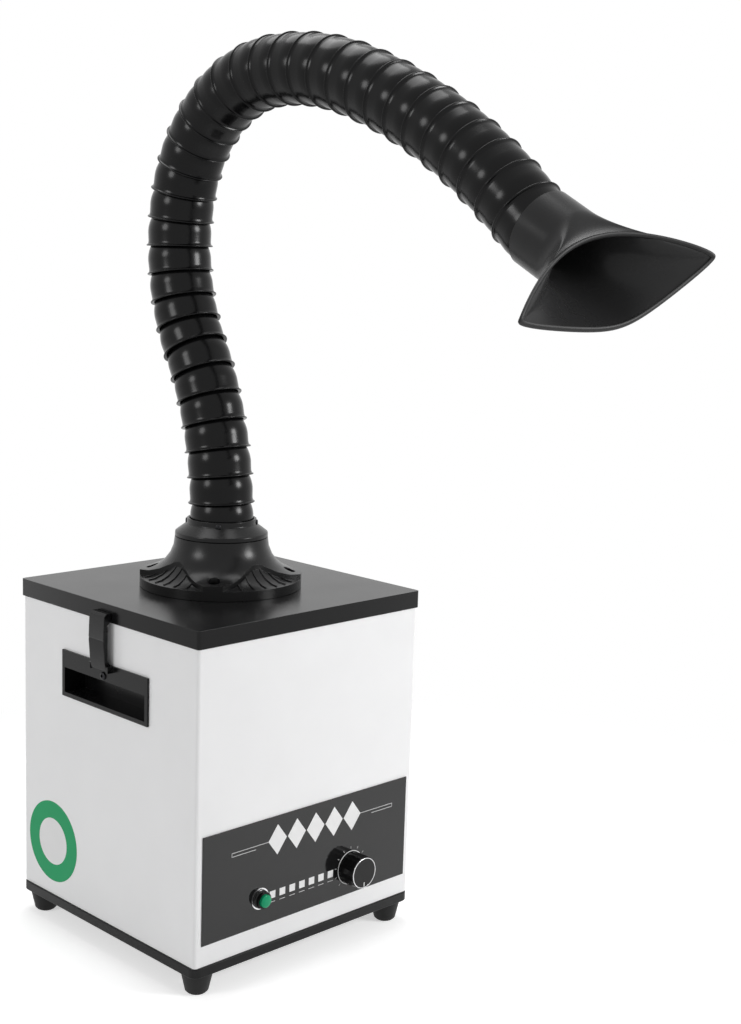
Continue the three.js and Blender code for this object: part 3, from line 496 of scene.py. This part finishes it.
# Screws of the collar and the handles, and bolts sunk in the flange's lobes
lid_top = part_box("lid")[1].z
collar_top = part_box("hose_collar")[1].z
for quarter in range(4):
    turn = math.radians(45 + 90 * quarter)
    out = Vector((math.cos(turn), math.sin(turn), 0))
    screw_place = Vector((0, axis_y, collar_top - SCREW_DROP)) + COLLAR_NECK * out
    screw(f"collar_screw_{quarter + 1}", screw_place, out, SCREW_RADIUS, "lid")
    bolt_place = Vector((0, axis_y, lid_top + BOLT_RISE)) + BOLT_CIRCLE * out
    screw(f"flange_bolt_{quarter + 1}", bolt_place, (0, 0, 1), BOLT_RADIUS, "lid")
for side, sign in (("left", -1), ("right", 1)):
    plate_x = sign * (shell_high.x + HANDLE_PROUD)
    plate_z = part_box(f"handle_{side}")[1].z - HANDLE_SCREW_DROP
    screw(f"handle_screw_{side}", Vector((plate_x, axis_y, plate_z)), (sign, 0, 0),
          HANDLE_SCREW_RADIUS, "cabinet")


# Panel print: plain diamonds, marks and lines, and ticks round the dial

panel_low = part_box("control_panel")[0]
knob_low, knob_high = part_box("speed_knob")
lamp_low, lamp_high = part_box("lamp_bezel")
knob_centre = (knob_low + knob_high) / 2
lamp_centre = (lamp_low + lamp_high) / 2
panel_y = panel_low.y + PRINT_DEPTH / 4


def on_panel(x, z):
    """Point on the panel's face."""
    return Vector((x, panel_y, z))


def bar(x0, z0, x1, z1, half=LINE_HALF):
    """Outline of a straight printed line."""
    run = Vector((x1 - x0, 0, z1 - z0)).normalized()
    side = Vector((-run.z, 0, run.x)) * half
    start, end = on_panel(x0, z0), on_panel(x1, z1)
    return [start + side, start - side, end - side, end + side]


diamond_z = panel_low.z + DIAMOND_RISE
diamonds = []
for i in range(DIAMOND_COUNT):
    x = DIAMOND_X + (i - (DIAMOND_COUNT - 1) / 2) * DIAMOND_PITCH
    diamonds.append([on_panel(x - DIAMOND_HALF[0], diamond_z), on_panel(x, diamond_z - DIAMOND_HALF[1]),
                     on_panel(x + DIAMOND_HALF[0], diamond_z), on_panel(x, diamond_z + DIAMOND_HALF[1])])
reach = (DIAMOND_COUNT - 1) / 2 * DIAMOND_PITCH + DIAMOND_HALF[0]
lines = []
for sign in (-1, 1):
    start, end = DIAMOND_X + sign * reach, DIAMOND_X + sign * (reach + LINE_LENGTH)
    lines.append(bar(start, diamond_z, end, diamond_z))
    lines.append(bar(end - sign * LINE_RETURN, diamond_z - LINE_STEP, end, diamond_z - LINE_STEP))
    lines.append(bar(end, diamond_z + LINE_HALF, end, diamond_z - LINE_STEP - LINE_HALF))
for i in range(DIAL_TICKS):
    turn = math.radians(90 + DIAL_SWEEP / 2 - DIAL_SWEEP * i / (DIAL_TICKS - 1))
    inner, outer = (knob_centre + radius * Vector((math.cos(turn), 0, math.sin(turn)))
                    for radius in (DIAL_RADIUS, DIAL_RADIUS + DIAL_TICK))
    lines.append(bar(inner.x, inner.z, outer.x, outer.z))
marks = []
for i in range(MARK_COUNT):
    x = MARK_X + (i - (MARK_COUNT - 1) / 2) * MARK_PITCH
    marks.append(bar(x - MARK_HALF, lamp_centre.z, x + MARK_HALF, lamp_centre.z, MARK_HALF))
    underline_z = lamp_centre.z - UNDERLINE_DROP
    lines.append(bar(x - MARK_HALF, underline_z, x + MARK_HALF, underline_z))
prints = (("panel_print", diamonds + marks, print_white), ("panel_lines", lines, print_grey))
for name, outlines, finish in prints:
    put(plates(name, outlines, PRINT_DEPTH), name, finish, "cabinet")

# Knob trim and pointer, rings of the lamp and the knob
knob_radius = (knob_high.x - knob_low.x) / 2
front = Vector((knob_centre.x, knob_low.y, knob_centre.z))
trim_end = 360 - 360 / KNOB_TRIM_SIDES
trim = arc((knob_radius - KNOB_TRIM_INSET, 0), KNOB_TRIM, 0, trim_end, KNOB_TRIM_SIDES - 1)
put(turned("knob_trim", trim, along(front + Vector((0, KNOB_TRIM / 2, 0)), (0, -1, 0))), "knob_trim",
    bright_metal, "knob")
tip = front + Vector((0, PRINT_DEPTH / 4, POINTER_INSET - knob_radius))
half, length = Vector((POINTER[0], 0, 0)), Vector((0, 0, POINTER[1]))
pointer = [tip - half, tip + half, tip + half + length, tip - half + length]
put(plates("knob_pointer", [pointer], PRINT_DEPTH), "knob_pointer", print_white, "knob")


def front_ring(name, centre, inner, outer, back_y, front_y, finish, slot):
    """Ring about a control's axis between two depths, the front one nearer the viewer."""
    profile = [(inner, 0), (outer, 0), (outer, back_y - front_y), (inner, back_y - front_y)]
    place = along(Vector((centre.x, back_y, centre.z)), (0, -1, 0))
    put(turned(name, profile, place, RING_SIDES), name, finish, "cabinet")


lens_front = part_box("lamp_lens")[0].y
base_front = panel_low.y - BASE_RING
sleeve_front = lens_front + LENS_PROUD
front_ring("lamp_sleeve", lamp_centre, *LAMP_SLEEVE, lamp_low.y, sleeve_front, satin_plastic,
           "black_plastic")
front_ring("lamp_ring", lamp_centre, *LAMP_RING, panel_low.y, base_front, bright_metal, "steel")
front_ring("knob_ring", knob_centre, *KNOB_RING, panel_low.y, base_front, print_white, "panel_film")


# Plain round sticker on the left side: a green band and a pale disc

sticker_centre = Vector((shell_low.x, axis_y + STICKER_SETBACK, STICKER_HEIGHT))
sticker_place = along(sticker_centre, (-1, 0, 0), (0, 1, 0))


def flat_ring(name, inner, outer, finish):
    """Thin ring of the sticker, its back just under the shell's face."""
    back, face = -STICKER_SINK, STICKER_DEPTH
    profile = [(inner, back), (outer, back), (outer, face), (inner, face)]
    put(turned(name, profile, sticker_place, STICKER_SIDES), name, finish, "cabinet")


flat_ring("sticker_band", STICKER_DISC, STICKER_RADIUS, sticker_green)
flat_ring("sticker_disc", STICKER_HOLE, STICKER_DISC, print_white)


# Studio: a white floor that keeps a shadow, a world that shows white to camera, gloss and glass, soft lamps

def seen_rays(nodes, links):
    """Socket that is 1 for what the camera, gloss or glass sees, and 0 for light on a surface."""
    path = nodes.new("ShaderNodeLightPath")
    seen = path.outputs["Is Camera Ray"]
    for kind in ("Is Glossy Ray", "Is Transmission Ray"):
        either = nodes.new("ShaderNodeMath")
        either.operation = "MAXIMUM"
        links.new(seen, either.inputs[0])
        links.new(path.outputs[kind], either.inputs[1])
        seen = either.outputs[0]
    return seen


world = bpy.data.worlds.new("studio")
bpy.context.scene.world = world
world.use_nodes = True
nodes, links = world.node_tree.nodes, world.node_tree.links
level = nodes.new("ShaderNodeMapRange")
level.inputs["To Min"].default_value = WORLD_LEVEL
level.inputs["To Max"].default_value = 1.0
links.new(seen_rays(nodes, links), level.inputs["Value"])
links.new(level.outputs["Result"], nodes["Background"].inputs["Strength"])
nodes["Background"].inputs["Color"].default_value = (1, 1, 1, 1)

floor_mesh = bpy.data.meshes.new("floor")
corners = [(x * FLOOR_SPAN, y * FLOOR_SPAN, 0) for x, y in ((-1, -1), (1, -1), (1, 1), (-1, 1))]
floor_mesh.from_pydata(corners, [], [(0, 1, 2, 3)])
floor = bpy.data.objects.new("floor", floor_mesh)
bpy.context.scene.collection.objects.link(floor)
floor_finish = bpy.data.materials.new("floor_white")
floor_finish.use_nodes = True
nodes, links = floor_finish.node_tree.nodes, floor_finish.node_tree.links
nodes.remove(nodes["Principled BSDF"])
matt = nodes.new("ShaderNodeBsdfDiffuse")
matt.inputs["Color"].default_value = FLOOR_COLOUR
glow = nodes.new("ShaderNodeEmission")
floor_seen = seen_rays(nodes, links)
lift = nodes.new("ShaderNodeMath")
lift.operation = "MULTIPLY"
lift.inputs[1].default_value = FLOOR_LIFT
links.new(floor_seen, lift.inputs[0])
links.new(lift.outputs[0], glow.inputs["Strength"])
near = nodes.new("ShaderNodeAddShader")
links.new(matt.outputs["BSDF"], near.inputs[0])
links.new(glow.outputs["Emission"], near.inputs[1])
floor_place = nodes.new("ShaderNodeTexCoord")
away = nodes.new("ShaderNodeVectorMath")
away.operation = "LENGTH"
links.new(floor_place.outputs["Object"], away.inputs[0])
fade = nodes.new("ShaderNodeMapRange")
fade.interpolation_type = "SMOOTHSTEP"
fade.inputs["From Min"].default_value, fade.inputs["From Max"].default_value = FLOOR_FADE
links.new(away.outputs["Value"], fade.inputs["Value"])
seen_far = nodes.new("ShaderNodeMath")
seen_far.operation = "MULTIPLY"
links.new(fade.outputs["Result"], seen_far.inputs[0])
links.new(floor_seen, seen_far.inputs[1])
plain_white = nodes.new("ShaderNodeEmission")
shown = nodes.new("ShaderNodeMixShader")
links.new(seen_far.outputs[0], shown.inputs["Fac"])
links.new(near.outputs["Shader"], shown.inputs[1])
links.new(plain_white.outputs["Emission"], shown.inputs[2])
links.new(shown.outputs["Shader"], nodes["Material Output"].inputs["Surface"])
floor_mesh.materials.append(floor_finish)


def lamp(name, place, target, size, power):
    """Round soft lamp that faces a target."""
    data = bpy.data.lights.new(name, "AREA")
    data.shape = "DISK"
    data.size = size
    data.energy = power
    holder = bpy.data.objects.new(name, data)
    bpy.context.scene.collection.objects.link(holder)
    holder.location = place
    holder.rotation_euler = (Vector(target) - Vector(place)).to_track_quat("-Z", "Y").to_euler()
    holder.visible_camera = False


lamp("key", place=(1.5, -2.4, 1.5), target=(0, 0.1, 0.4), size=0.95, power=55)
lamp("side", place=(-2.6, 0.5, 1.6), target=(0, 0.1, 0.6), size=0.95, power=21.5)
lamp("top", place=(0.3, 0.8, 2.8), target=(0, 0, 0.4), size=1.7, power=26)

camera_data = bpy.data.cameras.new("camera")
camera_data.sensor_fit = "VERTICAL"
camera_data.sensor_height = SENSOR_HEIGHT
camera_data.lens = FOCAL_PIXELS / PHOTO_HEIGHT * SENSOR_HEIGHT
camera = bpy.data.objects.new("camera", camera_data)
bpy.context.scene.collection.objects.link(camera)
azimuth, elevation, roll = (math.radians(a) for a in (CAMERA_AZIMUTH, CAMERA_ELEVATION, CAMERA_ROLL))
level_back = Vector((math.sin(azimuth), -math.cos(azimuth), 0))
back = math.cos(elevation) * level_back + Vector((0, 0, math.sin(elevation)))
right = Vector((math.cos(azimuth), math.sin(azimuth), 0))
up = back.cross(right)
rolled_right = math.cos(roll) * right + math.sin(roll) * up
rolled_up = math.cos(roll) * up - math.sin(roll) * right
place = CAMERA_OFFSET + Vector((0, axis_y, 0))
facing = Matrix((rolled_right, rolled_up, back)).transposed().to_4x4()
camera.matrix_world = Matrix.Translation(place) @ facing
bpy.context.scene.camera = camera
bpy.context.scene.view_settings.view_transform = "Standard"
